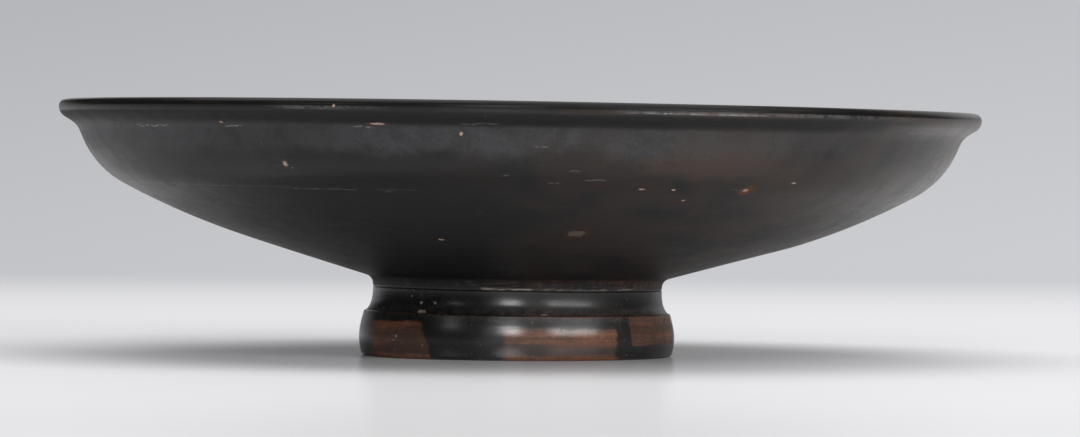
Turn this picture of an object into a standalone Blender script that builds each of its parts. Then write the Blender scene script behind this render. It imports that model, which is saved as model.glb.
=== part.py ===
"""Footed patera: a shallow black-gloss dish with a flared lip, turned in one piece with its moulded ring foot.

The whole vessel is one closed outline of radius and height, spun about the vertical axis. The bowl then leans by
under a degree on its foot, as it sagged while the clay was soft. Metres, +Z up. The origin is under the middle of
the rim, on the surface that the foot stands on.
"""

import math

import bmesh
import bpy
import numpy as np
from mathutils import Matrix, Vector

# Driving dimensions
RIM_RADIUS = 0.1200
NECK_RADIUS = 0.03925  # at the neck's foot, where it rises from the roll
REST_RING = (0.0315, 0.0394)  # inner and outer edge of the ring that the foot stands on
WALL_AT_FOOT = 0.0060
WALL_AT_LIP = 0.00415

# Foot, from the floor up: a convex roll, a hollow neck, a cut line and a collar under the bowl
ROLL_EDGE_BEND = 0.0013
ROLL_EDGE_HEADING = 75.0
ROLL_BELLY_BEND = 0.0150
ROLL_BELLY_HEADING = 104.5
ROLL_BEVEL_TOP = 0.0104
ROLL_SHOULDER_BEND = 0.0012
ROLL_LEDGE_HEADING = 160.0
NECK_FOOT_HEADING = 131.0
NECK_FOOT_BEND = 0.0056
NECK_FLARE_HEADING = 102.0
NECK_BEND = 0.0135
NECK_TOP_HEADING = 90.0
CUT_LINE_HEIGHT = 0.0176
CUT_LINE_DEPTH = 0.0002
CUT_LINE_SLANT = 45.0
COLLAR_HEADING = 85.0
COLLAR_TOP = 0.0185
COLLAR_FILLET = 0.0024

# Recess under the foot
RECESS_CEILING = 0.0158
RECESS_CENTRE = 0.0150
RECESS_TAPER = 5.0  # degrees that its wall leans in
RECESS_CORNER_BEND = 0.0035
REST_EDGE_BEND = 0.0012

# Bowl: slopes are headings in degrees above the horizontal
CONE_SLOPE = 16.15
CONE_END_RADIUS = 0.0674
BELLY_BEND = 0.1810
BELLY_SLOPE = 28.4
SHOULDER_BEND = 0.0238
WALL_SLOPE = 66.8
WALL_TOP_HEIGHT = 0.0568
FLARE_BEND = 0.0055
FLARE_SLOPE = 31.5
LIP_NOSE_BEND = 0.0030
LIP_CREST_BEND = 0.00175
FLOOR_BEND = 0.0900

# Lean of the vessel towards +X, in degrees, at heights from the floor up: the foot is cut level and the bowl sags
LEAN_HEIGHTS = (0.0, 0.0110, 0.0200, 0.0300, 0.0450, 0.0600)
LEAN_DEGREES = (0.0, 0.50, 0.50, 0.86, 0.62, 0.56)

# Black slip
SLIP_COLOUR = (0.018, 0.016, 0.015, 1.0)
SLIP_ROUGHNESS = 0.2

# Fineness of the faceted solid
SPIN_STEPS = 72
CHORD_SAG = 0.00009  # furthest that a chord may lie inside its arc
CREASE_ANGLE = 35.0
MERGE_DISTANCE = 0.000001


class Outline:
    """A turned outline drawn as a pen moves, in straight runs and in arcs that carry its heading on.

    Points are (radius, height). A heading of 0 degrees points outwards, and 90 degrees up.
    """

    def __init__(self, radius, height, heading):
        self.radius = radius
        self.height = height
        self.heading = heading
        self.stations = []
        self.mark()

    def mark(self):
        self.stations.append((self.radius, self.height, self.heading))

    def face(self, heading):
        """Turns the pen on the spot, which leaves a crease."""
        self.heading = heading

    def run(self, length):
        turn = math.radians(self.heading)
        self.radius += length * math.cos(turn)
        self.height += length * math.sin(turn)
        self.mark()

    def run_to_radius(self, radius):
        self.run((radius - self.radius) / math.cos(math.radians(self.heading)))

    def run_to_height(self, height):
        self.run((height - self.height) / math.sin(math.radians(self.heading)))

    def bend(self, bend_radius, heading):
        """Draws an arc up to a new heading: to the left where the heading grows, and else to the right."""
        side = math.copysign(bend_radius, heading - self.heading)
        start, end = math.radians(self.heading), math.radians(heading)
        centre_radius = self.radius - side * math.sin(start)
        centre_height = self.height + side * math.cos(start)
        widest = 2 * math.acos(1 - CHORD_SAG / bend_radius)
        steps = max(2, math.ceil(abs(end - start) / widest))
        for turn in np.linspace(start, end, steps + 1)[1:]:
            self.radius = centre_radius + side * math.sin(turn)
            self.height = centre_height - side * math.cos(turn)
            self.heading = math.degrees(turn)
            self.mark()


def draw_recess():
    """From the middle of the recess under the foot, out along its ceiling and down to the resting ring."""
    wall_heading = RECESS_TAPER - 90.0
    corner = math.radians(90.0 - RECESS_TAPER)
    wall_top = RECESS_CEILING - RECESS_CORNER_BEND * (1 - math.cos(corner))
    wall_in = wall_top * math.tan(math.radians(RECESS_TAPER))
    ceiling_edge = REST_RING[0] - wall_in - RECESS_CORNER_BEND * math.sin(corner)
    line = Outline(0.0, RECESS_CENTRE, 0.0)
    line.radius = ceiling_edge
    line.height = RECESS_CEILING
    line.mark()
    line.bend(RECESS_CORNER_BEND, wall_heading)
    line.run_to_height(REST_EDGE_BEND * (1 - math.cos(corner)))
    line.bend(REST_EDGE_BEND, 0.0)
    return line


def draw_foot(line):
    """The roll that the vessel stands on, the hollow neck above it and the collar that meets the bowl."""
    line.run_to_radius(REST_RING[1])
    line.bend(ROLL_EDGE_BEND, ROLL_EDGE_HEADING)
    line.bend(ROLL_BELLY_BEND, ROLL_BELLY_HEADING)
    line.run_to_height(ROLL_BEVEL_TOP)
    line.bend(ROLL_SHOULDER_BEND, ROLL_LEDGE_HEADING)
    line.run_to_radius(NECK_RADIUS)
    line.face(NECK_FOOT_HEADING)
    line.bend(NECK_FOOT_BEND, NECK_FLARE_HEADING)
    line.bend(NECK_BEND, NECK_TOP_HEADING)
    line.run_to_height(CUT_LINE_HEIGHT - CUT_LINE_DEPTH)
    line.face(90.0 + CUT_LINE_SLANT)
    line.run_to_height(CUT_LINE_HEIGHT)
    line.face(90.0 - CUT_LINE_SLANT)
    line.run_to_height(CUT_LINE_HEIGHT + CUT_LINE_DEPTH)
    line.face(COLLAR_HEADING)
    line.run_to_height(COLLAR_TOP)
    line.bend(COLLAR_FILLET, CONE_SLOPE)


def draw_bowl_outside(line):
    """The cone of the bowl, its belly and shoulder, the wall and the flare under the lip."""
    line.run_to_radius(CONE_END_RADIUS)
    line.bend(BELLY_BEND, BELLY_SLOPE)
    line.bend(SHOULDER_BEND, WALL_SLOPE)
    line.run_to_height(WALL_TOP_HEIGHT)
    line.bend(FLARE_BEND, FLARE_SLOPE)
    nose_reach = LIP_NOSE_BEND * (1 - math.sin(math.radians(FLARE_SLOPE)))
    line.run_to_radius(RIM_RADIUS - nose_reach)


def wall_inside(outside):
    """The outer side of the bowl moved in by the thickness of its wall, from the lip down to the floor."""
    radii, heights, headings = np.array(outside).T
    steps = np.hypot(np.diff(radii), np.diff(heights))
    way = np.concatenate(([0.0], np.cumsum(steps)))
    wall = np.interp(way, (0.0, way[-1]), (WALL_AT_FOOT, WALL_AT_LIP))
    turn = np.radians(headings)
    inside = np.column_stack((radii - wall * np.sin(turn), heights + wall * np.cos(turn), headings + 180.0))
    return inside[::-1]


def draw_lip(line, inner_top):
    """The nose of the lip, its upright face and its round crest, which runs out along the inner wall."""
    line.bend(LIP_NOSE_BEND, 90.0)
    inner_heading = FLARE_SLOPE + 180.0
    turn = math.radians(FLARE_SLOPE)
    across = (RIM_RADIUS - LIP_CREST_BEND - inner_top[0]) * math.sin(turn)
    crest_height = inner_top[1] + (across - LIP_CREST_BEND) / math.cos(turn)
    line.run_to_height(crest_height)
    line.bend(LIP_CREST_BEND, inner_heading)


def draw_floor(line, inside):
    """Down the inner wall, then along a wide hollow to the middle of the floor."""
    for radius, height, heading in inside:
        if radius < line.radius:
            line.radius, line.height, line.heading = radius, height, heading
            line.mark()
    line.bend(FLOOR_BEND, 180.0)
    line.run_to_radius(0.0)


def vessel_outline():
    """The closed section of the vessel, from the middle of the recess round to the middle of the floor."""
    line = draw_recess()
    draw_foot(line)
    first = len(line.stations) - 1
    draw_bowl_outside(line)
    inside = wall_inside(line.stations[first:])
    draw_lip(line, inside[0])
    draw_floor(line, inside)
    return [(radius, height) for radius, height, _ in line.stations]


def spin_outline(mesh, outline):
    """Turns the outline into a closed body about the vertical axis."""
    verts = [mesh.verts.new((radius, 0.0, height)) for radius, height in outline]
    edges = [mesh.edges.new(pair) for pair in zip(verts, verts[1:])]
    bmesh.ops.spin(
        mesh, geom=verts + edges, cent=(0, 0, 0), axis=(0, 0, 1), angle=math.tau, steps=SPIN_STEPS, use_merge=True
    )
    bmesh.ops.remove_doubles(mesh, verts=mesh.verts, dist=MERGE_DISTANCE)
    bmesh.ops.recalc_face_normals(mesh, faces=mesh.faces)


def lean_vessel(mesh):
    """Tips each level of the vessel by its lean, then brings the middle of the rim over the origin."""
    for vert in mesh.verts:
        lean = math.radians(np.interp(vert.co.z, LEAN_HEIGHTS, LEAN_DEGREES))
        vert.co = Matrix.Rotation(lean, 3, "Y") @ vert.co
    across = [vert.co.x for vert in mesh.verts]
    bmesh.ops.translate(mesh, verts=mesh.verts, vec=Vector((-(min(across) + max(across)) / 2, 0, 0)))


def black_gloss():
    """Thin iron-rich slip fired black over an orange clay."""
    material = bpy.data.materials.new("black_gloss")
    material.use_nodes = True
    shader = material.node_tree.nodes["Principled BSDF"]
    shader.inputs["Base Color"].default_value = SLIP_COLOUR
    shader.inputs["Roughness"].default_value = SLIP_ROUGHNESS
    shader.inputs["Metallic"].default_value = 0.0
    return material


def make_patera():
    mesh = bmesh.new()
    spin_outline(mesh, vessel_outline())
    lean_vessel(mesh)
    data = bpy.data.meshes.new("patera")
    mesh.to_mesh(data)
    mesh.free()
    data.materials.append(black_gloss())
    data.shade_smooth()
    data.set_sharp_from_angle(angle=math.radians(CREASE_ANGLE))
    patera = bpy.data.objects.new("patera", data)
    bpy.context.scene.collection.objects.link(patera)


def main():
    for old in list(bpy.data.objects):
        bpy.data.objects.remove(old)
    make_patera()


main()
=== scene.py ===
"""Studio looks for a footed patera: a shallow black-gloss dish on a moulded ring foot.

The dish is turned again at full fineness, with the unevenness, the chips and the wear of an excavated pot.
It takes the place of the plain solid. The file is laid out as an add-on and is run as a script.
"""

import math
from typing import NamedTuple

import bmesh
import bpy
import numpy as np
from mathutils import Matrix, Vector, noise


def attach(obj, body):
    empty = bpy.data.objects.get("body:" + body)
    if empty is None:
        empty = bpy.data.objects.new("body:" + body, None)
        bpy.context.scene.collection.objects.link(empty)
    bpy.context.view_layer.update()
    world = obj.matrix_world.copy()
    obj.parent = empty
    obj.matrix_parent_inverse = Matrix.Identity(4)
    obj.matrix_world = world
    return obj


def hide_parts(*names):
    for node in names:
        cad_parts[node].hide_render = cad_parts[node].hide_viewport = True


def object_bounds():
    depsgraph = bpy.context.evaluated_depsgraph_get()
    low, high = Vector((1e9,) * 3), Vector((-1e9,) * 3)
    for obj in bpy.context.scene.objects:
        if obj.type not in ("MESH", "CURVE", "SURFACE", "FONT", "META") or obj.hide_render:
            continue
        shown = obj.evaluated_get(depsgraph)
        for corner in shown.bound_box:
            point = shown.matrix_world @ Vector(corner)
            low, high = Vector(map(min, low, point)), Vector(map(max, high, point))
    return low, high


bl_info = {
    "name": "Footed Patera",
    "version": (1, 0, 0),
    "blender": (4, 5, 0),
    "location": "View3D > Sidebar > Patera",
    "description": "Turns a black-gloss patera and sets it in a plain studio",
    "category": "Object",
}

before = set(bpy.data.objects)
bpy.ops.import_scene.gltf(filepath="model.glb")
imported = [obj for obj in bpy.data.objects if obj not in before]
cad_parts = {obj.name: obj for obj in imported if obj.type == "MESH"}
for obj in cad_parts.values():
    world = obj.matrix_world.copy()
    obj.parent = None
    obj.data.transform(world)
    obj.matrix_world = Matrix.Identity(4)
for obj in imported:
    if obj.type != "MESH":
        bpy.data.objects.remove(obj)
CAD_LOW, CAD_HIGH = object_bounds()

# Section of the vessel in metres, as the solid has it but for the top of the roll
RIM_RADIUS = (CAD_HIGH.y - CAD_LOW.y) / 2
NECK_RADIUS = 0.03925  # at the neck's foot, where it rises from the roll
REST_RING = (0.0315, 0.0394)  # inner and outer edge of the ring that the foot stands on
WALL_AT_FOOT = 0.0060
WALL_AT_LIP = 0.00415
ROLL_EDGE_BEND = 0.0013
ROLL_EDGE_HEADING = 75.0
ROLL_BELLY_BEND = 0.0150
ROLL_BELLY_HEADING = 104.5
ROLL_BEVEL_TOP = 0.0111  # 0.7 mm higher than in the solid
ROLL_SHOULDER_BEND = 0.0005  # crisper than in the solid
ROLL_LEDGE_HEADING = 160.0
NECK_FOOT_HEADING = 131.0
NECK_FOOT_BEND = 0.0056
NECK_FLARE_HEADING = 102.0
NECK_BEND = 0.0135
NECK_TOP_HEADING = 90.0
CUT_LINE_HEIGHT = 0.0176
CUT_LINE_DEPTH = 0.0002
COLLAR_HEADING = 85.0
COLLAR_TOP = 0.0185
COLLAR_FILLET = 0.0024
RECESS_CEILING = 0.0158
RECESS_CENTRE = 0.0150
RECESS_TAPER = 5.0  # degrees that its wall leans in
RECESS_CORNER_BEND = 0.0035
REST_EDGE_BEND = 0.0012
CONE_SLOPE = 16.15
CONE_END_RADIUS = 0.0674
BELLY_BEND = 0.1810
BELLY_SLOPE = 28.4
SHOULDER_BEND = 0.0238
WALL_SLOPE = 66.8
WALL_TOP_HEIGHT = 0.0568
FLARE_BEND = 0.0055
FLARE_SLOPE = 31.5
LIP_NOSE_BEND = 0.0030
LIP_CREST_BEND = 0.00175
FLOOR_BEND = 0.0900
LEAN_HEIGHTS = (0.0, 0.0110, 0.0200, 0.0300, 0.0450, 0.0600)
LEAN_DEGREES = (0.0, 0.50, 0.50, 0.86, 0.62, 0.56)

# A finer mark than the solid has: a groove where the neck rises from the roll
LEDGE_GROOVE_DEPTH = 0.00025

# Fineness of the mesh
WIDEST_BEND_STEP = 9.0  # degrees
CREASE_ANGLE = 35.0
MERGE_DISTANCE = 0.000001

# Chips, in units of their own half width unless they are lengths
CHIP_REFINED = 1.5
CHIP_MARGIN = 0.003  # a row of the mesh, in metres
CHIP_SURROUND = 3.0
CHIP_RAGGED = (0.35, 1.9)  # strength and scale of the lobes of its edge
CHIP_JAGGED = (0.20, 2.7)  # strength and scale of its finer teeth
CHIP_SEED_STEP = 7.3
CHIP_DIRT_AND_SHADE_EDGE = 1.2
CHIP_FLOOR_SCALE = 2600
CHIP_FLOOR_DEPTHS = (0.8, 0.4)  # mean and swing, as shares of its depth


class Chip(NamedTuple):
    """A place where the slip, and some clay with it, has come away.

    Turn is in degrees from the front towards +X.
    """

    turn: float
    height: float
    across: float
    up: float
    depth: float
    clean: float = 1.0  # how far out from its middle the clay is pale, as a share of its half width
    dirt_and_shade: float = 0.0  # how far its clay is darkened brown, by grime and by painted shade


CHIPS = (
    Chip(-30.9, 0.0486, 0.0013, 0.0019, 0.00030),
    Chip(-16.9, 0.0590, 0.0042, 0.0008, 0.00018),
    Chip(-6.8, 0.0571, 0.0009, 0.0012, 0.00020),
    Chip(-38.6, 0.0588, 0.0011, 0.0007, 0.00015),
    Chip(-21.6, 0.0629, 0.0008, 0.0008, 0.00015),
    Chip(21.1, 0.0445, 0.0011, 0.0008, 0.00020),
    Chip(23.7, 0.0416, 0.0010, 0.0008, 0.00018),
    Chip(16.6, 0.0443, 0.0018, 0.0007, 0.00018),
    Chip(32.1, 0.0440, 0.0034, 0.0030, 0.00025, 0.0, 0.72),
    Chip(32.0, 0.0441, 0.0015, 0.0012, 0.00030),
    Chip(38.8, 0.0465, 0.0016, 0.0006, 0.00015),
    # The next two chips make one wound: the small, wholly dark one paints the shade under the large one's
    # upper edge.
    Chip(10.4, 0.0333, 0.0042, 0.0050, 0.00045, 1.15, 0.76),
    Chip(10.5, 0.0339, 0.0016, 0.0022, 0.00040, 0.0, 1.0),
    Chip(-14.7, 0.0307, 0.0018, 0.0012, 0.00025),
    Chip(-38.4, 0.0116, 0.0032, 0.0020, 0.00030),
    Chip(-39.9, 0.0139, 0.0010, 0.0009, 0.00015),
    Chip(-33.2, 0.0143, 0.0009, 0.0008, 0.00015),
    Chip(10.4, 0.0116, 0.0026, 0.0008, 0.00020),
    Chip(-48.5, 0.0058, 0.0009, 0.0011, 0.00020),
    Chip(-37.8, 0.0646, 0.0009, 0.0009, 0.00030),
    Chip(-19.8, 0.0650, 0.0010, 0.0007, 0.00030),
    Chip(4.0, 0.0650, 0.0012, 0.0008, 0.00035),
    Chip(118.0, 0.0478, 0.0020, 0.0014, 0.00030),
    Chip(163.0, 0.0362, 0.0015, 0.0022, 0.00030),
    Chip(-141.0, 0.0600, 0.0030, 0.0009, 0.00020),
    Chip(-104.0, 0.0110, 0.0024, 0.0012, 0.00025),
)


class Outline:
    """A turned outline drawn as a pen moves, in straight runs and in arcs that carry its heading on.

    Points are (radius, height). A heading of 0 degrees points outwards, and 90 degrees up.
    The clay is on the left.
    """

    def __init__(self, radius, height, heading, row_length):
        self.radius = radius
        self.height = height
        self.heading = heading
        self.row_length = row_length
        self.stations = []
        self.way = 0.0
        self.ends = {}
        self.mark()

    def mark(self):
        if self.stations:
            last = self.stations[-1]
            self.way += math.hypot(self.radius - last[0], self.height - last[1])
        self.stations.append((self.radius, self.height, self.heading, self.way))

    def finish(self, part):
        """Notes how far along the outline a part of the vessel ends."""
        self.ends[part] = self.way

    def face(self, heading):
        """Turns the pen on the spot, which leaves a crease."""
        self.heading = heading

    def run(self, length):
        turn = math.radians(self.heading)
        rows = max(1, math.ceil(length / self.row_length))
        for _ in range(rows):
            self.radius += length / rows * math.cos(turn)
            self.height += length / rows * math.sin(turn)
            self.mark()

    def run_to_radius(self, radius):
        self.run((radius - self.radius) / math.cos(math.radians(self.heading)))

    def run_to_height(self, height):
        self.run((height - self.height) / math.sin(math.radians(self.heading)))

    def bend(self, bend_radius, heading):
        """Draws an arc up to a new heading: to the left where the heading grows, and else to the right."""
        side = math.copysign(bend_radius, heading - self.heading)
        start, end = math.radians(self.heading), math.radians(heading)
        centre_radius = self.radius - side * math.sin(start)
        centre_height = self.height + side * math.cos(start)
        rows = math.ceil(bend_radius * abs(end - start) / self.row_length)
        turns = math.ceil(abs(end - start) / math.radians(WIDEST_BEND_STEP))
        for turn in np.linspace(start, end, max(rows, turns) + 1)[1:]:
            self.radius = centre_radius + side * math.sin(turn)
            self.height = centre_height - side * math.cos(turn)
            self.heading = math.degrees(turn)
            self.mark()

    def score(self, depth):
        """Cuts a fine V into the clay."""
        heading = self.heading
        slant = depth * math.sqrt(2)
        self.face(heading + 45.0)
        self.run(slant)
        self.face(heading - 45.0)
        self.run(slant)
        self.face(heading)


def draw_underside(row_length):
    """From the middle of the recess under the foot, out along its ceiling and down to the resting ring."""
    wall_heading = RECESS_TAPER - 90.0
    corner = math.radians(90.0 - RECESS_TAPER)
    wall_top = RECESS_CEILING - RECESS_CORNER_BEND * (1 - math.cos(corner))
    wall_in = wall_top * math.tan(math.radians(RECESS_TAPER))
    ceiling_edge = REST_RING[0] - wall_in - RECESS_CORNER_BEND * math.sin(corner)
    rise = math.atan2(RECESS_CEILING - RECESS_CENTRE, ceiling_edge)
    line = Outline(0.0, RECESS_CENTRE, math.degrees(rise), row_length)
    line.run_to_radius(ceiling_edge)
    line.face(0.0)
    line.bend(RECESS_CORNER_BEND, wall_heading)
    line.run_to_height(REST_EDGE_BEND * (1 - math.cos(corner)))
    line.bend(REST_EDGE_BEND, 0.0)
    line.run_to_radius(REST_RING[1])
    line.finish("underside")
    return line


def draw_foot(line):
    """The roll that the vessel stands on, the hollow neck above it and the collar that meets the bowl."""
    line.bend(ROLL_EDGE_BEND, ROLL_EDGE_HEADING)
    line.bend(ROLL_BELLY_BEND, ROLL_BELLY_HEADING)
    line.run_to_height(ROLL_BEVEL_TOP)
    line.bend(ROLL_SHOULDER_BEND, ROLL_LEDGE_HEADING)
    line.run_to_radius(NECK_RADIUS + LEDGE_GROOVE_DEPTH)
    line.score(LEDGE_GROOVE_DEPTH)
    line.run_to_radius(NECK_RADIUS)
    line.face(NECK_FOOT_HEADING)
    line.bend(NECK_FOOT_BEND, NECK_FLARE_HEADING)
    line.bend(NECK_BEND, NECK_TOP_HEADING)
    line.run_to_height(CUT_LINE_HEIGHT - CUT_LINE_DEPTH)
    line.face(90.0)
    line.score(CUT_LINE_DEPTH)
    line.face(COLLAR_HEADING)
    line.run_to_height(COLLAR_TOP)
    line.bend(COLLAR_FILLET, CONE_SLOPE)
    line.finish("foot")


def draw_bowl_outside(line):
    """The cone of the bowl, its belly and shoulder, the wall and the flare under the lip."""
    line.run_to_radius(CONE_END_RADIUS)
    line.bend(BELLY_BEND, BELLY_SLOPE)
    line.bend(SHOULDER_BEND, WALL_SLOPE)
    line.run_to_height(WALL_TOP_HEIGHT)
    line.bend(FLARE_BEND, FLARE_SLOPE)
    nose_reach = LIP_NOSE_BEND * (1 - math.sin(math.radians(FLARE_SLOPE)))
    line.run_to_radius(RIM_RADIUS - nose_reach)


def wall_inside(outside):
    """The outer side of the bowl moved in by the thickness of its wall, from the lip down to the floor."""
    radii, heights, headings, ways = np.array(outside).T
    wall = np.interp(ways, (ways[0], ways[-1]), (WALL_AT_FOOT, WALL_AT_LIP))
    turn = np.radians(headings)
    inside = np.column_stack((radii - wall * np.sin(turn), heights + wall * np.cos(turn), headings + 180.0))
    return inside[::-1]


def draw_lip(line, inner_top):
    """The nose of the lip, its upright face and its round crest, which runs out along the inner wall."""
    line.bend(LIP_NOSE_BEND, 90.0)
    inner_heading = FLARE_SLOPE + 180.0
    turn = math.radians(FLARE_SLOPE)
    across = (RIM_RADIUS - LIP_CREST_BEND - inner_top[0]) * math.sin(turn)
    crest_height = inner_top[1] + (across - LIP_CREST_BEND) / math.cos(turn)
    line.run_to_height(crest_height)
    line.finish("outside")
    line.bend(LIP_CREST_BEND, inner_heading)


def draw_inside(line, inside):
    """Down the inner wall, then along a wide hollow to the middle of the floor."""
    for radius, height, heading in inside:
        if radius < line.radius:
            line.radius, line.height, line.heading = radius, height, heading
            line.mark()
    line.bend(FLOOR_BEND, 180.0)
    line.run_to_radius(0.0)
    line.finish("inside")


def draw_vessel(row_length):
    """The closed section of the vessel, from the middle of the recess round to the middle of the floor."""
    line = draw_underside(row_length)
    draw_foot(line)
    first = len(line.stations) - 1
    draw_bowl_outside(line)
    inside = wall_inside(line.stations[first:])
    draw_lip(line, inside[0])
    draw_inside(line, inside)
    return line


def spin_outline(mesh, line, steps):
    """Turns the outline into a closed body about the vertical axis.

    Each point keeps its way along the outline.
    """
    way = mesh.verts.layers.float.new("way")
    verts = []
    for radius, height, _, along in line.stations:
        vert = mesh.verts.new((radius, 0.0, height))
        vert[way] = along
        verts.append(vert)
    edges = [mesh.edges.new(pair) for pair in zip(verts, verts[1:])]
    bmesh.ops.spin(
        mesh, geom=verts + edges, cent=(0, 0, 0), axis=(0, 0, 1), angle=math.tau, steps=steps, use_merge=True
    )
    bmesh.ops.remove_doubles(mesh, verts=mesh.verts, dist=MERGE_DISTANCE)
    bmesh.ops.recalc_face_normals(mesh, faces=mesh.faces)


def outer_radius(line, height):
    """Radius of the outer face at a height, and its way along the outline."""
    outer = [s for s in line.stations if line.ends["underside"] <= s[3] <= line.ends["outside"]]
    nearest = min(outer, key=lambda station: abs(station[1] - height))
    return nearest[0], nearest[3]


class Wound:
    """A chip set out on the vessel: its middle, and how far a point lies from it in units of its own size."""

    def __init__(self, chip, line, seed):
        radius, self.way = outer_radius(line, chip.height)
        self.chip = chip
        self.seed = seed
        self.radius = radius
        self.turn = math.radians(chip.turn)
        self.middle = Vector((radius * math.sin(self.turn), -radius * math.cos(self.turn), chip.height))
        self.reach = max(chip.across, chip.up) / 2

    def offset(self, spot, way):
        """How far out a point lies: 0 in the middle and 1 at the ragged edge."""
        turn = math.atan2(spot.x, -spot.y) - self.turn
        sideways = (turn + math.pi) % math.tau - math.pi
        across = sideways * self.radius / (self.chip.across / 2)
        up = (way - self.way) / (self.chip.up / 2)
        lobes, lobe_scale = CHIP_RAGGED
        teeth, tooth_scale = CHIP_JAGGED
        ragged = noise.noise(Vector((math.atan2(up, across), self.seed, 0.0)) * lobe_scale)
        fine = noise.noise(Vector((across, up, self.seed)) * tooth_scale)
        return math.hypot(across, up) * (1 + lobes * ragged + teeth * fine)


def refine_at(mesh, wound, fineness):
    """Subdivides the faces that a chip touches, so that its edge comes out crisp."""
    way = mesh.verts.layers.float["way"]
    reach = wound.reach * CHIP_REFINED
    wide = reach + CHIP_MARGIN
    found = set()
    for face in mesh.faces:
        for vert in face.verts:
            if (vert.co - wound.middle).length < wide and abs(vert[way] - wound.way) < wide:
                found.add(face)
    near = []
    for face in found:
        low = Vector(map(min, zip(*(vert.co for vert in face.verts))))
        high = Vector(map(max, zip(*(vert.co for vert in face.verts))))
        inside = [low[i] - reach < wound.middle[i] < high[i] + reach for i in range(3)]
        if all(inside):
            near.append(face)
    edges = list({edge for face in near for edge in face.edges})
    longest = max(edge.calc_length() for edge in edges)
    cuts = math.ceil(longest / fineness) - 1
    bmesh.ops.subdivide_edges(mesh, edges=edges, cuts=cuts, use_grid_fill=True)


def note_places(mesh):
    """Keeps each point's place before the vessel leans, for the finishes, and makes room for the chips."""
    upright = mesh.verts.layers.float_vector.new("upright")
    bare = mesh.verts.layers.float.new("bare")
    clean = mesh.verts.layers.float.new("clean")
    mesh.verts.layers.float.new("dirt_and_shade")
    for vert in mesh.verts:
        vert[upright] = vert.co
        vert[bare] = -1.0
        vert[clean] = -1.0


def lean_vessel(mesh):
    """Tips each level of the vessel by its lean, then brings the middle of the rim over the origin."""
    for vert in mesh.verts:
        lean = math.radians(np.interp(vert.co.z, LEAN_HEIGHTS, LEAN_DEGREES))
        vert.co = Matrix.Rotation(lean, 3, "Y") @ vert.co
    across = [vert.co.x for vert in mesh.verts]
    bmesh.ops.translate(mesh, verts=mesh.verts, vec=Vector((-(min(across) + max(across)) / 2, 0, 0)))


def knock_chips(mesh, wounds):
    """Sinks the chips into the outer face."""
    way = mesh.verts.layers.float["way"]
    upright = mesh.verts.layers.float_vector["upright"]
    bare = mesh.verts.layers.float["bare"]
    clean = mesh.verts.layers.float["clean"]
    dirt_and_shade = mesh.verts.layers.float["dirt_and_shade"]
    mean, swing = CHIP_FLOOR_DEPTHS
    mesh.normal_update()
    for vert in mesh.verts:
        spot = vert[upright]
        for wound in wounds:
            if (spot - wound.middle).length > wound.reach * CHIP_SURROUND:
                continue
            offset = wound.offset(spot, vert[way])
            vert[bare] = max(vert[bare], 1 - offset)
            vert[clean] = max(vert[clean], wound.chip.clean - offset)
            # Marks how far the chip is darkened brown, for grime and for painted shade.
            if offset < CHIP_DIRT_AND_SHADE_EDGE:
                vert[dirt_and_shade] = wound.chip.dirt_and_shade
            if offset < 1:
                floor = mean + swing * noise.noise(spot * CHIP_FLOOR_SCALE)
                vert.co -= vert.normal * wound.chip.depth * floor * (1 - offset**3)


def settle_wall(mesh, unevenness):
    """Gives the wall the slight unevenness of hand turning.

    It only moves points inwards and down, so that the vessel keeps its box.
    """
    upright = mesh.verts.layers.float_vector["upright"]
    for vert in mesh.verts:
        spot = vert[upright]
        radius = math.hypot(spot.x, spot.y)
        if radius < MERGE_DISTANCE:
            continue
        swell = noise.noise(Vector((spot.x * 14, spot.y * 14, spot.z * 60)))
        inwards = unevenness * (1 - swell) / 2 * (0.25 + 0.75 * radius / RIM_RADIUS)
        vert.co.x -= inwards * spot.x / radius
        vert.co.y -= inwards * spot.y / radius
        rise = min(max((spot.z - COLLAR_TOP) / (CAD_HIGH.z - COLLAR_TOP), 0.0), 1.0)
        sag = noise.noise(Vector((spot.x * 22, spot.y * 22, 3.0)))
        vert.co.z -= rise * unevenness * (0.62 - 0.5 * sag)


def assign_finishes(mesh, line):
    """Gives each face the number of its finish, by where it lies along the outline."""
    way = mesh.verts.layers.float["way"]
    ends = list(line.ends.values())
    for face in mesh.faces:
        middle = sum(vert[way] for vert in face.verts) / len(face.verts)
        face.material_index = min(int(np.searchsorted(ends, middle)), len(ends) - 1)
        face.smooth = True


class Value:
    """A socket in a finish. Arithmetic on it adds Math nodes, so that shader maths reads as an expression."""

    def __init__(self, finish, socket):
        self.finish = finish
        self.socket = socket

    def maths(self, operation, *inputs):
        return self.finish.add("ShaderNodeMath", {"operation": operation}, dict(enumerate(inputs)))

    def __add__(self, other):
        return self.maths("ADD", self, other)

    def __radd__(self, other):
        return self.maths("ADD", other, self)

    def __sub__(self, other):
        return self.maths("SUBTRACT", self, other)

    def __rsub__(self, other):
        return self.maths("SUBTRACT", other, self)

    def __mul__(self, other):
        return self.maths("MULTIPLY", self, other)

    def __rmul__(self, other):
        return self.maths("MULTIPLY", other, self)

    def __truediv__(self, other):
        return self.maths("DIVIDE", self, other)

    def __rtruediv__(self, other):
        return self.maths("DIVIDE", other, self)

    def over(self, low, high):
        """0 below low and 1 above high, with a smooth rise between them.

        Low may be above high for a fall.
        """
        settings = {"interpolation_type": "SMOOTHSTEP"}
        if isinstance(low, (int, float)) and isinstance(high, (int, float)) and low > high:
            fall = {0: self, 1: high, 2: low, 3: 1.0, 4: 0.0}
            return self.finish.add("ShaderNodeMapRange", settings, fall)
        rise = {0: self, 1: low, 2: high, 3: 0.0, 4: 1.0}
        return self.finish.add("ShaderNodeMapRange", settings, rise)

    def band(self, low, high, soft):
        """1 between low and high, fading out over soft on both sides."""
        return self.over(low - soft, low + soft) * self.over(high + soft, high - soft)

    def larger(self, other):
        return self.maths("MAXIMUM", self, other)

    def size(self):
        return self.maths("ABSOLUTE", self)


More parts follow.
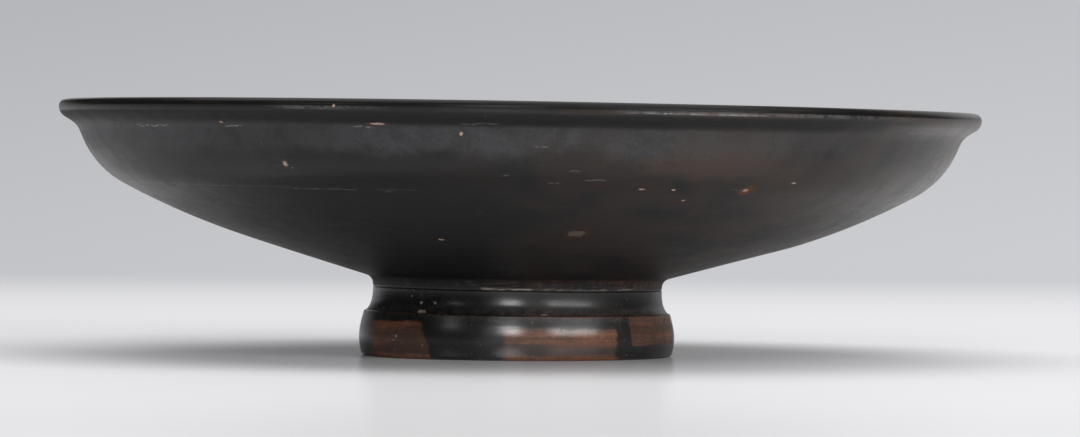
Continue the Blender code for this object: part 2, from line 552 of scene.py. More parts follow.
class Finish:
    """A material under construction."""

    def __init__(self, name):
        self.material = bpy.data.materials.new(name)
        self.material.use_nodes = True
        self.tree = self.material.node_tree
        self.shader = self.tree.nodes["Principled BSDF"]

    def add(self, kind, settings, inputs, output=0):
        """Adds a node of any kind: its settings first, then its sockets' values or links."""
        node = self.tree.nodes.new(kind)
        for name, value in settings.items():
            setattr(node, name, value)
        for name, value in inputs.items():
            self.feed(node.inputs[name], value)
        return Value(self, node.outputs[output])

    def feed(self, socket, value):
        if isinstance(value, Value):
            self.tree.links.new(value.socket, socket)
        else:
            socket.default_value = value

    def axis(self, where, name):
        return self.add("ShaderNodeSeparateXYZ", {}, {0: where}, name)

    def spread(self, x, y, z):
        """A vector from three values."""
        return self.add("ShaderNodeCombineXYZ", {}, {0: x, 1: y, 2: z})

    def noise(self, where, scale, detail=2.0, roughness=0.5, distortion=0.0):
        inputs = {"Vector": where, "Scale": scale, "Detail": detail}
        inputs |= {"Roughness": roughness, "Distortion": distortion}
        return self.add("ShaderNodeTexNoise", {}, inputs)

    def mix(self, factor, first, second, blend="MIX"):
        """A mix of two colours."""
        settings = {"data_type": "RGBA", "blend_type": blend}
        return self.add("ShaderNodeMix", settings, {0: factor, 6: first, 7: second}, 2)

    def colour(self, value):
        self.feed(self.shader.inputs["Base Color"], value)

    def roughness(self, value):
        self.feed(self.shader.inputs["Roughness"], value)

    def coat(self, weight, roughness):
        """A clear coat, for the second and sharper gloss of dense slip."""
        self.feed(self.shader.inputs["Coat Weight"], weight)
        self.shader.inputs["Coat Roughness"].default_value = roughness

    def relief(self, depth):
        """Raises the surface by a depth in metres, as a bump."""
        bump = self.add("ShaderNodeBump", {}, {"Strength": 1.0, "Distance": 1.0, "Height": depth})
        self.feed(self.shader.inputs["Normal"], bump)


class VesselFinish(Finish):
    """A finish of the vessel, with the places that its patterns follow.

    They are in millimetres, and in degrees from the front.
    """

    def __init__(self, name):
        super().__init__(name)
        self.upright = self.attribute("upright", "Vector")
        self.way = self.attribute("way", "Fac")
        self.bare = self.attribute("bare", "Fac")
        self.clean = self.attribute("clean", "Fac")
        self.dirt_and_shade = self.attribute("dirt_and_shade", "Fac")
        self.x = self.axis(self.upright, "X")
        self.y = self.axis(self.upright, "Y")
        self.height = self.axis(self.upright, "Z") * 1000
        self.turn = self.x.maths("ARCTAN2", self.x, self.y * -1) * math.degrees(1)
        self.radius = (self.x * self.x + self.y * self.y).maths("SQRT") * 1000

    def attribute(self, name, output):
        return self.add("ShaderNodeAttribute", {"attribute_name": name}, {}, output)

    def streaks(self, around, along, detail=3.0, shift=0.0):
        """Turning marks: noise that hardly changes round the vessel and quickly across the marks."""
        where = self.spread(self.x * around + shift, self.y * around, self.way * along)
        return self.noise(where, 1.0, detail, 0.6)

    def specks(self, scale, size, share, shift=0.0):
        """Small round spots in some of the cells of a scattered grid."""
        moved = {0: self.upright, 1: (shift, shift, shift)}
        where = self.add("ShaderNodeVectorMath", {"operation": "ADD"}, moved)
        inputs = {"Vector": where, "Scale": scale}
        distance = self.add("ShaderNodeTexVoronoi", {}, inputs, "Distance")
        colour = self.add("ShaderNodeTexVoronoi", {}, inputs, "Color")
        chance = self.add("ShaderNodeSeparateColor", {}, {0: colour}, 0)
        spread = self.add("ShaderNodeSeparateColor", {}, {0: colour}, 1)
        return distance.over(size * 1.25, size * 0.75) * chance.over(1 - share - 0.01, 1 - share) * spread

    def wear(self, low, high, grain=0.35):
        """The bare attribute, broken up by fine grain."""
        rough = self.noise(self.upright, 2600.0, 3.0)
        return (self.bare + (rough - 0.5) * grain).over(low, high)


class FinishSettings(bpy.types.PropertyGroup):
    """Colours of the slip and the clay."""

    slip_black: bpy.props.FloatVectorProperty(
        name="Black slip", description="Dense slip, fired black", subtype="COLOR", size=4, min=0, max=1,
        default=(0.0085, 0.0082, 0.0082, 1.0),
    )
    slip_brown: bpy.props.FloatVectorProperty(
        name="Brown slip", description="Thinner slip, where the clay shows through", subtype="COLOR", size=4,
        min=0, max=1, default=(0.036, 0.022, 0.015, 1.0),
    )
    slip_red: bpy.props.FloatVectorProperty(
        name="Red blotches", description="Slip that stayed red in the kiln", subtype="COLOR", size=4,
        min=0, max=1, default=(0.080, 0.034, 0.020, 1.0),
    )
    haze: bpy.props.FloatVectorProperty(
        name="Haze", description="Thin grey film left by burial", subtype="COLOR", size=4, min=0, max=1,
        default=(0.052, 0.052, 0.056, 1.0),
    )
    clay: bpy.props.FloatVectorProperty(
        name="Clay", description="Reserved clay", subtype="COLOR", size=4, min=0, max=1,
        default=(0.265, 0.100, 0.048, 1.0),
    )
    fresh_clay: bpy.props.FloatVectorProperty(
        name="Chipped clay", description="Clay laid bare by a chip", subtype="COLOR", size=4, min=0, max=1,
        default=(0.37, 0.31, 0.265, 1.0),
    )
    abrasion: bpy.props.FloatVectorProperty(
        name="Abrasions", description="Pale dust in scratches and in rubbed places", subtype="COLOR", size=4,
        min=0, max=1, default=(0.25, 0.23, 0.20, 1.0),
    )


class ClaySettings(bpy.types.PropertyGroup):
    """Fineness and unevenness of the turned vessel."""

    steps: bpy.props.IntProperty(
        name="Steps", description="Steps of the spin about the axis", default=240, min=24, max=360
    )
    row_length: bpy.props.FloatProperty(
        name="Row length", description="Longest step along the outline",
        default=0.0018, unit="LENGTH", min=0.0005,
    )
    unevenness: bpy.props.FloatProperty(
        name="Unevenness", description="How far the wall strays inwards",
        default=0.00010, unit="LENGTH", min=0,
    )
    chip_fineness: bpy.props.FloatProperty(
        name="Chip fineness", description="Size of the faces inside a chip", default=0.00027, unit="LENGTH",
        min=0.00005,
    )


class StudioSettings(bpy.types.PropertyGroup):
    """Camera, table and lights."""

    distance: bpy.props.FloatProperty(
        name="Camera distance", description="From the vessel's axis to the camera",
        default=1.31, unit="LENGTH",
    )
    eye_height: bpy.props.FloatProperty(
        name="Camera height", description="Above the table", default=0.0476, unit="LENGTH"
    )
    aside: bpy.props.FloatProperty(
        name="Camera aside", description="How far the camera stands to the right",
        default=0.0053, unit="LENGTH",
    )
    pitch: bpy.props.FloatProperty(
        name="Pitch", description="How far the camera looks down",
        default=math.radians(0.517), unit="ROTATION",
    )
    roll: bpy.props.FloatProperty(
        name="Roll", description="How far the camera is turned about its view", default=math.radians(0.41),
        unit="ROTATION",
    )
    lens: bpy.props.FloatProperty(
        name="Lens", description="Focal length on a 36 mm sensor, in millimetres",
        default=167.3, unit="CAMERA",
    )
    brightness: bpy.props.FloatProperty(
        name="Brightness", description="Scales every light", default=1.0, min=0
    )
    sweep_width: bpy.props.FloatProperty(
        name="Sweep width", description="Width of the table and the backdrop", default=3.2, unit="LENGTH"
    )
    table_front: bpy.props.FloatProperty(
        name="Table front", description="How far the table reaches towards the camera",
        default=1.1, unit="LENGTH",
    )
    table_back: bpy.props.FloatProperty(
        name="Table back", description="How far behind the vessel the backdrop stands",
        default=1.65, unit="LENGTH",
    )
    backdrop_height: bpy.props.FloatProperty(
        name="Backdrop height", description="Above the table", default=0.33, unit="LENGTH"
    )
    table_colour: bpy.props.FloatVectorProperty(
        name="Table", description="Paper under the vessel", subtype="COLOR", size=4, min=0, max=1,
        default=(0.80, 0.797, 0.815, 1.0),
    )
    table_sheen: bpy.props.FloatProperty(
        name="Table sheen", description="Share of the light that the table mirrors",
        default=0.24, min=0, max=1,
    )
    backdrop_colour: bpy.props.FloatVectorProperty(
        name="Backdrop", description="Paper behind the vessel", subtype="COLOR", size=4, min=0, max=1,
        default=(0.55, 0.556, 0.58, 1.0),
    )


class Scratch(NamedTuple):
    """A fine pale scratch. Turns are in degrees; height, width and wander in millimetres."""

    start: float
    end: float
    height: float
    width: float
    wander: float
    strength: float


SCRATCHES = (
    Scratch(-78.0, -46.0, 43.6, 0.12, 0.3, 0.35),
    Scratch(-56.0, -30.0, 43.2, 0.10, 0.2, 0.45),
    Scratch(-33.0, -22.5, 42.9, 0.12, 0.1, 0.6),
    Scratch(-19.5, -13.8, 43.0, 0.10, 0.1, 0.45),
    Scratch(-55.3, -48.6, 57.9, 0.20, 0.35, 1.0),
    Scratch(-38.2, -35.6, 57.9, 0.24, 0.35, 0.9),
    Scratch(-20.0, -17.6, 58.1, 0.22, 0.3, 0.9),
    Scratch(-6.6, -2.4, 59.2, 0.14, 0.2, 0.55),
    Scratch(2.2, 3.7, 53.9, 0.22, 0.5, 0.6),
    Scratch(-1.8, -1.2, 47.0, 0.22, 0.3, 0.8),
    Scratch(4.0, 5.4, 45.3, 0.18, 0.2, 0.7),
    Scratch(6.4, 7.7, 48.2, 0.20, 0.4, 0.6),
    Scratch(8.8, 11.3, 46.2, 0.18, 0.2, 0.75),
    Scratch(-18.6, -17.4, 42.4, 0.18, 0.4, 0.5),
    Scratch(29.5, 33.6, 44.5, 0.16, 0.4, 0.35),
    Scratch(56.0, 62.5, 59.2, 0.16, 0.4, 0.30),
    Scratch(92.0, 118.0, 45.0, 0.12, 0.3, 0.5),
    Scratch(150.0, 176.0, 42.0, 0.12, 0.4, 0.4),
    Scratch(-150.0, -128.0, 51.0, 0.16, 0.5, 0.4),
)


def scratched(finish):
    """1 in the fine scratches, which break up along their length."""
    wander = finish.noise(finish.upright, 330.0, 2.0) - 0.5
    broken = finish.noise(finish.upright, 700.0, 3.0).over(0.36, 0.52)
    total = 0.0
    for mark in SCRATCHES:
        off = (finish.height - mark.height + wander * (mark.wander * 4)).size()
        line = off.over(mark.width, mark.width * 0.4) * finish.turn.band(mark.start, mark.end, 0.4)
        total = line * mark.strength + total
    return total * broken


def slip_bump(finish, grain, marks):
    """Fine grain and turning marks, as depths in metres."""
    fine = finish.noise(finish.upright, 1500.0, 3.0, 0.6)
    rings = finish.streaks(10.0, 620.0)
    return fine * grain + rings * marks


def chip_colour(finish, settings):
    """Pale clay in the middle of a chip, redder clay round it, and over both a brown darkening for grime and
    for painted shade.
    """
    rough = finish.noise(finish.upright, 1700.0, 3.0, 0.6)
    pale = (finish.clean + (rough - 0.5) * 0.6).over(0.05, 0.30)
    clay = finish.mix(pale, settings.clay, settings.fresh_clay)
    # A brown darkening over the chip, for grime and for painted shade in its overhang.
    return finish.mix(finish.dirt_and_shade * (rough * 0.6 + 0.7), clay, settings.slip_brown)


def outside_finish(settings):
    """Black gloss of the outer bowl and the lip, browner towards +X and filmed over below the lip, with
    painted shade in the hollow under the lip.
    """
    finish = VesselFinish("black_gloss_outside")
    cloud = finish.noise(finish.upright, 38.0, 4.0, 0.6)
    mottle = finish.noise(finish.upright, 150.0, 5.0, 0.7, 0.8)
    grain = finish.noise(finish.upright, 1100.0, 4.0, 0.75)
    rings = finish.streaks(8.0, 900.0, 4.0, 7.0)
    tint = finish.noise(finish.upright, 62.0, 3.0, 0.5, 0.5)
    warm = finish.turn.over(-25.0, 34.0) * tint.over(0.34, 0.60)
    colour = finish.mix(warm * 0.85 + cloud.over(0.55, 0.75) * 0.15, settings.slip_black, settings.slip_brown)
    blotch = (tint + mottle * 0.4).over(0.66, 0.80) * finish.turn.band(15.0, 30.0, 8.0)
    blotch = blotch * finish.height.band(48.0, 55.0, 2.5)
    colour = finish.mix(blotch * (grain * 0.5 + 0.05), colour, settings.slip_red)
    film = finish.noise(finish.upright, 75.0, 6.0, 0.68, 1.6) * 0.8 + grain * 0.2
    reach = (finish.turn.over(62.0, 0.0) * 0.75 + 0.25) * (1 - finish.turn.band(-44.0, -22.0, 8.0) * 0.45)
    edge = (cloud - 0.5) * 9 + (mottle - 0.5) * 5
    wall = (finish.height + edge).over(50.0, 54.5) * finish.height.over(59.4, 58.2)
    haze = (film.over(0.36, 0.60) * 0.5 + 0.28) * wall * reach
    colour = finish.mix(haze * (grain * 0.9 + 0.55), colour, settings.haze)
    veil = (mottle * 0.45 + grain * 0.55).over(0.40, 0.66)
    dull = finish.turn.over(-30.0, 40.0) * 0.75 + 0.25
    colour = finish.mix((veil * 0.18 + rings.over(0.40, 0.72) * 0.08) * dull, colour, settings.haze)
    # Painted shade: the hollow under the lip is painted plain black slip, with none of the film, to darken it
    # as the shade beneath the bowl would.
    hollow_shade = finish.height.over(57.8, 60.4) * finish.height.over(62.2, 61.4) * finish.turn.over(62.0, 36.0)
    colour = finish.mix(hollow_shade * 0.95, colour, settings.slip_black)
    dust = finish.specks(330.0, 0.075, 0.07) + finish.specks(900.0, 0.10, 0.05, 0.3) * 0.6
    colour = finish.mix(dust * 0.8, colour, settings.abrasion)
    scratch = scratched(finish)
    colour = finish.mix(scratch * 0.6, colour, settings.abrasion)
    halo = finish.wear(-0.9, 0.0, 0.9) * 0.5
    colour = finish.mix(halo, colour, settings.slip_red)
    chipped = finish.wear(0.0, 0.12)
    colour = finish.mix(chipped, colour, chip_colour(finish, settings))
    finish.colour(colour)
    crest = finish.height.over(63.2, 63.9)
    matt = finish.height.over(46.0, 32.0) * 0.14 + hollow_shade * 0.32 + crest * 0.3
    finish.roughness(0.26 + matt + mottle * 0.14 + haze * 0.18 + veil * 0.06 + chipped * 0.45)
    finish.shader.inputs["Specular IOR Level"].default_value = 0.32
    lip = finish.height.over(61.6, 62.4)
    lit = finish.turn.band(-29.0, -17.0, 3.0) + finish.turn.over(8.0, 16.0) * finish.turn.over(62.0, 34.0)
    broken = (grain * 0.6 + mottle * 0.4).over(0.40, 0.56)
    finish.coat(finish.height.band(62.2, 63.9, 0.2) * lit * broken, 0.09)
    finish.shader.inputs["Coat IOR"].default_value = 1.8
    lumps = finish.noise(finish.upright, 620.0, 3.0, 0.6)
    relief = slip_bump(finish, 0.000010, 0.000010) - dust * 0.00002 - scratch * 0.00002
    finish.relief(relief + lumps * (lip * 0.00005 + 0.000012))
    return finish.material


def inside_finish(settings):
    """Black gloss of the inner bowl: plainer, with turning marks and the ghost of a stacked pot."""
    finish = VesselFinish("black_gloss_inside")
    cloud = finish.noise(finish.upright, 38.0, 4.0, 0.6)
    mottle = finish.noise(finish.upright, 150.0, 5.0, 0.7, 0.8)
    grain = finish.noise(finish.upright, 900.0, 3.0, 0.7)
    colour = finish.mix(cloud.over(0.50, 0.85) * 0.6, settings.slip_black, settings.slip_brown)
    ghost = (finish.radius + (mottle - 0.5) * 3).band(33.0, 41.0, 1.5)
    colour = finish.mix(ghost * 0.45, colour, settings.slip_red)
    rings = finish.streaks(8.0, 900.0, 4.0, 7.0)
    veil = (mottle * 0.55 + grain * 0.45).over(0.42, 0.66)
    bowl = finish.radius.over(116.5, 114.0)
    veil = (veil * 0.30 + rings.over(0.40, 0.72) * 0.20) * (bowl * 0.85 + 0.15)
    colour = finish.mix(veil, colour, settings.haze)
    dust = finish.specks(330.0, 0.075, 0.10, 0.4)
    colour = finish.mix(dust * 0.8, colour, settings.fresh_clay)
    chipped = finish.wear(0.0, 0.12)
    colour = finish.mix(chipped, colour, chip_colour(finish, settings))
    finish.colour(colour)
    finish.roughness(0.24 + mottle * 0.14 + ghost * 0.08 + veil * 0.12 + chipped * 0.45)
    finish.shader.inputs["Specular IOR Level"].default_value = 0.14
    finish.coat(bowl * (1 - chipped) * 0.6, 0.24)
    finish.relief(slip_bump(finish, 0.000010, 0.000020) - dust * 0.00002)
    return finish.material


class Patch(NamedTuple):
    """A part of the foot that the slip missed, where fingers held it.

    Turns are in degrees and heights in millimetres.
    """

    start: float
    end: float
    low: float
    high: float
    slant: float  # degrees that its far edge moves for each millimetre up
    soft: float  # degrees over which its near edge fades in
    wash: float  # how thickly thin slip covers it


PATCHES = (
    Patch(-66.0, -32.0, -2.0, 9.2, -0.5, 8.0, 0.36),
    Patch(-4.0, 38.0, -2.0, 8.0, 0.0, 1.4, 0.05),
    Patch(46.5, 80.0, 3.8, 11.2, 0.0, 1.2, 0.50),
    Patch(104.0, 139.0, -2.0, 8.6, 0.4, 2.0, 0.20),
    Patch(-158.0, -121.0, -2.0, 7.9, 0.2, 2.0, 0.30),
    Patch(-104.0, -92.0, 2.0, 11.2, 0.0, 1.2, 0.10),
)


def missed_slip(finish):
    """How far the foot shows its clay, and how thickly that is washed over."""
    swing = finish.noise(finish.upright, 180.0, 4.0, 0.6)
    turn = finish.turn + (swing - 0.5) * 6.0
    height = finish.height + (swing - 0.5) * 2.2
    around = finish.turn.band(-60.0, -34.0, 3.0) * 1.2 + finish.turn.band(-2.0, 40.0, 3.0) + 0.2
    missed = (finish.height - around).over(0.3, -0.2) * around
    washed = 0.0
    for patch in PATCHES:
        far = (height * patch.slant + (patch.end + 1.0) - turn).over(0.0, 1.6)
        near = turn.over(patch.start - patch.soft, patch.start + patch.soft)
        shape = far * near * height.band(patch.low, patch.high, 0.5)
        missed = missed.larger(shape)
        washed = shape * patch.wash + washed
    return missed, washed * finish.height.over(1.0, 2.6)


def foot_finish(settings):
    """Slip and reserved clay of the neck and the foot ring."""
    finish = VesselFinish("foot_slip")
    cloud = finish.noise(finish.upright, 90.0, 4.0, 0.6)
    mottle = finish.noise(finish.upright, 420.0, 4.0, 0.7)
    grain = finish.noise(finish.upright, 1500.0, 3.0, 0.7)
    rings = finish.streaks(14.0, 1500.0, 4.0)
    brush = finish.streaks(24.0, 420.0, 4.0, 3.0)
    missed, washed = missed_slip(finish)
    worn_and_sheen = finish.turn.over(-30.0, 10.0)
    # From the front round to +X the slip is painted browner and filmed: partly wear, partly painted sheen of
    # the light from that side.
    slip = finish.mix(cloud.over(0.45, 0.7) * worn_and_sheen * 0.5, settings.slip_black, settings.slip_brown)
    film = (mottle * 0.5 + grain * 0.5).over(0.36, 0.70)
    slip = finish.mix(film * (worn_and_sheen * 0.08 + 0.06), slip, settings.haze)
    thin = (rings * 0.4 + mottle * 0.35 + grain * 0.25).over(0.44, 0.62)
    clay = finish.mix(thin * 0.6, settings.clay, settings.slip_brown)
    # The thinly washed clay is made greyer and darker low on the roll, between 1.2 and 4.4 mm up.
    greyed_low = finish.height.band(1.2, 4.4, 0.8) * washed.over(0.3, 0.1)
    wash = (brush * 0.55 + cloud * 0.45 + washed * 0.30 + greyed_low * 0.10).over(0.50, 0.66)
    clay = finish.mix(wash * 0.75, clay, settings.slip_brown)
    clay = finish.mix(greyed_low * 0.5, clay, settings.haze)
    colour = finish.mix(missed, slip, clay)
    collar = finish.height.over(17.7, 18.3)
    chalk = (finish.streaks(60.0, 1900.0, 4.0, 5.0) * 0.6 + mottle * 0.4).over(0.44, 0.62) * collar
    colour = finish.mix((chalk * 0.55 + collar * 0.10) * (worn_and_sheen * 0.8 + 0.2), colour, settings.haze)
    stained = (brush * 0.5 + mottle * 0.5).over(0.44, 0.60) * collar * finish.turn.over(-30.0, 30.0)
    colour = finish.mix(stained * 0.28, colour, settings.clay)
    flecks = (mottle * 0.35 + finish.streaks(240.0, 2600.0, 3.0, 9.0) * 0.65).over(0.52, 0.66)
    flecks = flecks * finish.height.band(18.2, 20.3, 0.5) * cloud.over(0.36, 0.60)
    colour = finish.mix(flecks * 0.45, colour, settings.abrasion)
    along_strip = finish.spread(finish.x * 300, finish.y * 300, finish.height * 3)
    scraped = finish.noise(along_strip, 1.0, 4.0).over(0.46, 0.56)
    strip = (finish.height - 18.1).size().over(0.40, 0.15)
    along = finish.turn.band(-14.0, 6.0, 1.0) + finish.turn.band(10.0, 52.0, 3.0) * 0.45 + 0.06
    colour = finish.mix(scraped * strip * along, colour, settings.fresh_clay)
    scuffed = (cloud * 0.6 + mottle * 0.4).over(0.46, 0.60)
    dust = finish.specks(420.0, 0.13, 0.30) + finish.specks(900.0, 0.16, 0.30, 0.3) * 0.8
    colour = finish.mix(dust * (scuffed * 0.6 + 0.35), colour, settings.fresh_clay)
    settled = (grain * 0.5 + mottle * 0.5).over(0.36, 0.66) * finish.height.band(10.1, 13.2, 0.6)
    colour = finish.mix(settled * (worn_and_sheen * 0.10 + 0.06), colour, settings.fresh_clay)
    rubbed = (grain * 0.4 + brush * 0.6).over(0.46, 0.60) * (finish.height - 11.3).size().over(0.40, 0.15)
    colour = finish.mix(rubbed * 0.4, colour, settings.clay)
    chipped = finish.wear(0.0, 0.12)
    colour = finish.mix(chipped, colour, chip_colour(finish, settings))
    finish.colour(colour)
    dulled = worn_and_sheen * 0.14 + cloud * 0.10 + film * 0.05
    finish.roughness(0.22 + dulled + collar * 0.3 + missed * 0.2 + chipped * 0.3)
    sides = finish.turn.size().over(42.0, 72.0)
    gloss = finish.turn.over(-20.0, -8.0) * 0.55 - finish.turn.over(5.0, 20.0) * 0.55 + 0.20
    bevel = finish.height.band(8.8, 11.0, 0.5)
    handled = missed * finish.height.band(6.0, 8.4, 0.6) * finish.turn.over(-6.0, 0.0)
    gloss = gloss * (1 - bevel * 0.75) + handled * 0.48
    finish.coat((1 - collar) * (1 - chipped) * (1 - sides) * gloss, 0.22)
    finish.shader.inputs["Coat IOR"].default_value = 1.75
    grit = worn_and_sheen * 0.000014 + 0.000008
    finish.relief(slip_bump(finish, grit, 0.000014) + mottle * (worn_and_sheen * 0.000025 + 0.000005) - dust * 0.00003)
    return finish.material


def underside_finish(settings):
    """Clay under the foot, with a thin brown wash and turning marks."""
    finish = VesselFinish("reserved_clay")
    cloud = finish.noise(finish.upright, 90.0, 4.0, 0.6)
    grain = finish.noise(finish.upright, 1300.0, 3.0, 0.7)
    rings = finish.streaks(14.0, 900.0, 4.0)
    wash = (rings * 0.4 + cloud * 0.4 + grain * 0.2).over(0.42, 0.60)
    colour = finish.mix(wash * 0.75, settings.clay, settings.slip_brown)
    dust = finish.specks(500.0, 0.10, 0.2)
    colour = finish.mix(dust * 0.7, colour, settings.fresh_clay)
    finish.colour(colour)
    finish.roughness(0.55 + cloud * 0.2)
    finish.relief(slip_bump(finish, 0.000030, 0.000060))
    return finish.material


class OBJECT_OT_turn_patera(bpy.types.Operator):
    """Turns the vessel, chips it and gives it its finishes, in place of the plain solid"""

    bl_idname = "object.turn_patera"
    bl_label = "Turn Patera"
    bl_options = {"REGISTER", "UNDO"}

    def execute(self, context):
        clay = context.scene.patera_clay
        finishes = context.scene.patera_finish
        line = draw_vessel(clay.row_length)
        wounds = [Wound(chip, line, CHIP_SEED_STEP * number) for number, chip in enumerate(CHIPS)]
        mesh = bmesh.new()
        spin_outline(mesh, line, clay.steps)
        for wound in wounds:
            refine_at(mesh, wound, clay.chip_fineness)
        note_places(mesh)
        lean_vessel(mesh)
        knock_chips(mesh, wounds)
        settle_wall(mesh, clay.unevenness)
        assign_finishes(mesh, line)
        data = bpy.data.meshes.new("turned_patera")
        mesh.to_mesh(data)
        mesh.free()
        makers = {
            "underside": underside_finish,
            "foot": foot_finish,
            "outside": outside_finish,
            "inside": inside_finish,
        }
        for part in line.ends:
            data.materials.append(makers[part](finishes))
        data.set_sharp_from_angle(angle=math.radians(CREASE_ANGLE))
        patera = bpy.data.objects.new("turned_patera", data)
        context.scene.collection.objects.link(patera)
        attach(patera, "root")
        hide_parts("patera")
        return {"FINISHED"}


# Paper of the sweep, in metres and in shares
SWEEP_FOLD_SHARE = 0.6
SWEEP_FOLD_STEPS = 16
GLOW_FROM = 0.33  # behind the vessel
GLOW_TO = 1.05
NEAR_FROM = -0.20  # in front of the vessel, where the table is painted a little darker, as shade
NEAR_TO = -0.42
NEAR_SHADE = 0.07
UNLIT_PAPER = (0.04, 0.04, 0.04, 1.0)
PAPER_GRAIN = (0.5, 0.5, 0.5, 1.0)
SHEEN_ROUGHNESS = 0.14
BLACK = (0.0, 0.0, 0.0, 1.0)
WHITE = (1.0, 1.0, 1.0, 1.0)


def make_sweep(studio):
    """A table that runs up into a low backdrop behind the vessel."""
    mesh = bmesh.new()
    left = mesh.verts.new((-studio.sweep_width / 2, -studio.table_front, 0.0))
    right = mesh.verts.new((studio.sweep_width / 2, -studio.table_front, 0.0))
    edge = mesh.edges.new((left, right))
    for move in ((0, studio.table_front + studio.table_back, 0), (0, 0, studio.backdrop_height)):
        made = bmesh.ops.extrude_edge_only(mesh, edges=[edge])["geom"]
        edge = next(part for part in made if isinstance(part, bmesh.types.BMEdge))
        bmesh.ops.translate(mesh, verts=edge.verts, vec=move)
    fold = [e for e in mesh.edges if all(v.co.z == 0 and v.co.y == studio.table_back for v in e.verts)]
    bmesh.ops.bevel(
        mesh,
        geom=fold,
        offset=studio.backdrop_height * SWEEP_FOLD_SHARE,
        offset_type="OFFSET",
        segments=SWEEP_FOLD_STEPS,
        profile=0.5,
        affect="EDGES",
        material=-1,
    )
    for face in mesh.faces:
        face.smooth = True
    data = bpy.data.meshes.new("sweep")
    mesh.to_mesh(data)
    mesh.free()
    data.materials.append(sweep_paper(studio))
    sweep = bpy.data.objects.new("sweep", data)
    bpy.context.scene.collection.objects.link(sweep)
    return sweep


def sweep_paper(studio):
    """Matt white paper under a thin sheen, which turns into a glowing grey backdrop away from the vessel."""
    finish = Finish("sweep_paper")
    place = finish.add("ShaderNodeTexCoord", {}, {}, "Object")
    x = finish.axis(place, "X")
    y = finish.axis(place, "Y")
    z = finish.axis(place, "Z")
    grain = finish.noise(place, 900.0, 3.0)
    away = y.over(GLOW_FROM, GLOW_TO)
    near = y.over(NEAR_FROM, NEAR_TO) * NEAR_SHADE
    colour = finish.mix(away.larger(near), studio.table_colour, UNLIT_PAPER)
    finish.colour(finish.mix(grain * 0.03, colour, PAPER_GRAIN))
    finish.shader.inputs["Specular IOR Level"].default_value = 0.0
    # Painted light: the glow of the backdrop falls off higher up and is brighter towards +X.
    shade = 0.956 - z * 0.9 + x * 0.18
    glow = finish.mix(1.0, finish.spread(shade, shade, shade), studio.backdrop_colour, "MULTIPLY")
    finish.feed(finish.shader.inputs["Emission Color"], finish.mix(away, BLACK, glow))
    finish.shader.inputs["Emission Strength"].default_value = 1.0
    sheen = finish.tree.nodes.new("ShaderNodeBsdfPrincipled")
    sheen.inputs["Metallic"].default_value = 1.0
    sheen.inputs["Base Color"].default_value = WHITE
    sheen.inputs["Roughness"].default_value = SHEEN_ROUGHNESS
    share = (1 - away) * studio.table_sheen
    shaders = {0: share, 1: Value(finish, finish.shader.outputs[0]), 2: Value(finish, sheen.outputs[0])}
    both = finish.add("ShaderNodeMixShader", {}, shaders)
    finish.feed(finish.tree.nodes["Material Output"].inputs["Surface"], both)
    return finish.material


class Softbox(NamedTuple):
    """An area light. Azimuth 0 is the camera's side, and it grows towards +X. Lengths are in metres."""

    name: str
    azimuth: float
    elevation: float
    distance: float
    width: float
    height: float
    radiance: float


SOFTBOXES = (
    Softbox("overhead_softbox", 208.0, 77.0, 2.6, 3.0, 2.9, 2.1),
    Softbox("side_softbox", 50.0, 53.0, 2.4, 2.7, 1.7, 1.75),
    Softbox("right_window", 44.0, 18.5, 2.4, 1.42, 0.54, 7.5),
    Softbox("rear_softbox", 164.0, 23.0, 1.6, 2.2, 0.8, 0.9),
    Softbox("front_window", -4.5, 24.5, 2.4, 0.50, 1.05, 8.0),
    Softbox("left_window", -50.0, 27.0, 1.6, 0.25, 0.5, 3.0),
)
ROOM_COLOUR = (0.9, 0.93, 1.0, 1.0)
ROOM_STRENGTH = 0.015
SENSOR_WIDTH = 36.0


def add_softbox(box, brightness, target):
    """Sets up a light that faces its target."""
    light = bpy.data.lights.new(box.name, "AREA")
    light.shape = "RECTANGLE"
    light.size = box.width
    light.size_y = box.height
    light.energy = box.radiance * brightness * math.pi * box.width * box.height
    softbox = bpy.data.objects.new(box.name, light)
    turn = math.radians(box.azimuth)
    rise = math.radians(box.elevation)
    way = Vector((math.sin(turn) * math.cos(rise), -math.cos(turn) * math.cos(rise), math.sin(rise)))
    softbox.location = target + way * box.distance
    softbox.rotation_euler = way.to_track_quat("Z", "Y").to_euler()
    bpy.context.scene.collection.objects.link(softbox)


def darken_room(scene):
    """The faint light that the room itself gives."""
    world = bpy.data.worlds.new("dark_room")
    world.use_nodes = True
    background = world.node_tree.nodes["Background"]
    background.inputs["Color"].default_value = ROOM_COLOUR
    background.inputs["Strength"].default_value = ROOM_STRENGTH
    scene.world = world


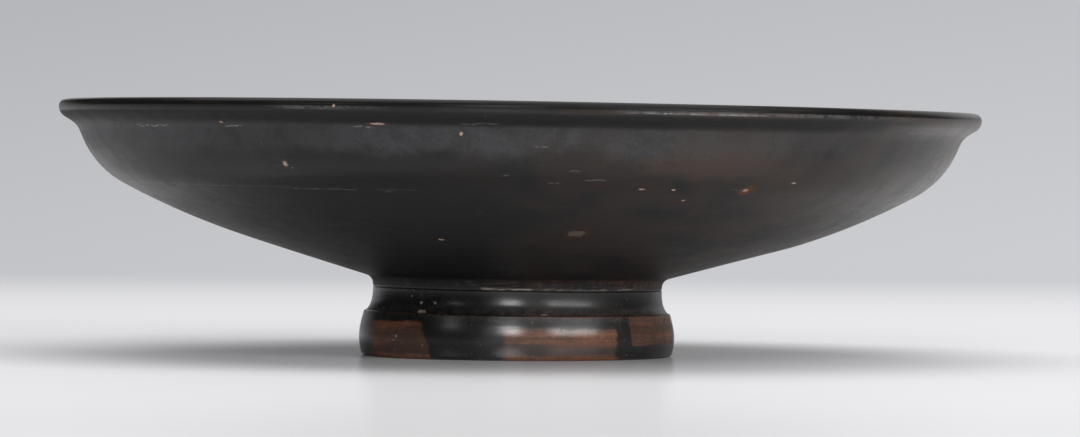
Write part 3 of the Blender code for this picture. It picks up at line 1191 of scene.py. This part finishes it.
def set_up_camera(scene, studio):
    """A long lens, close to level with the vessel."""
    lens = bpy.data.cameras.new("studio_camera")
    lens.lens = studio.lens
    lens.sensor_width = SENSOR_WIDTH
    camera = bpy.data.objects.new("studio_camera", lens)
    camera.location = (studio.aside, -studio.distance, studio.eye_height)
    camera.rotation_mode = "ZYX"
    camera.rotation_euler = (math.radians(90.0) - studio.pitch, 0.0, studio.roll)
    scene.collection.objects.link(camera)
    scene.camera = camera


class SCENE_OT_set_patera_studio(bpy.types.Operator):
    """Sets up the table, the backdrop, the lights and the camera"""

    bl_idname = "scene.set_patera_studio"
    bl_label = "Set Patera Studio"
    bl_options = {"REGISTER", "UNDO"}

    def execute(self, context):
        studio = context.scene.patera_studio
        sweep = make_sweep(studio)
        middle = (CAD_LOW + CAD_HIGH) / 2
        for box in SOFTBOXES:
            add_softbox(box, studio.brightness, middle)
        darken_room(context.scene)
        set_up_camera(context.scene, studio)
        context.scene.view_settings.view_transform = "Standard"
        return {"FINISHED"}


class VIEW3D_PT_patera(bpy.types.Panel):
    """Sizes, colours and steps of the patera"""

    bl_label = "Patera"
    bl_idname = "VIEW3D_PT_patera"
    bl_space_type = "VIEW_3D"
    bl_region_type = "UI"
    bl_category = "Patera"

    def draw(self, context):
        layout = self.layout
        for group in (context.scene.patera_clay, context.scene.patera_finish, context.scene.patera_studio):
            box = layout.box()
            for name in type(group).__annotations__:
                box.prop(group, name)
        layout.operator(OBJECT_OT_turn_patera.bl_idname)
        layout.operator(SCENE_OT_set_patera_studio.bl_idname)


CLASSES = (
    FinishSettings,
    ClaySettings,
    StudioSettings,
    OBJECT_OT_turn_patera,
    SCENE_OT_set_patera_studio,
    VIEW3D_PT_patera,
)


def register():
    for kind in CLASSES:
        bpy.utils.register_class(kind)
    bpy.types.Scene.patera_clay = bpy.props.PointerProperty(type=ClaySettings)
    bpy.types.Scene.patera_finish = bpy.props.PointerProperty(type=FinishSettings)
    bpy.types.Scene.patera_studio = bpy.props.PointerProperty(type=StudioSettings)


def unregister():
    del bpy.types.Scene.patera_studio
    del bpy.types.Scene.patera_finish
    del bpy.types.Scene.patera_clay
    for kind in reversed(CLASSES):
        bpy.utils.unregister_class(kind)


def main():
    register()
    bpy.ops.scene.set_patera_studio()
    bpy.ops.object.turn_patera()


if __name__ == "__main__":
    main()
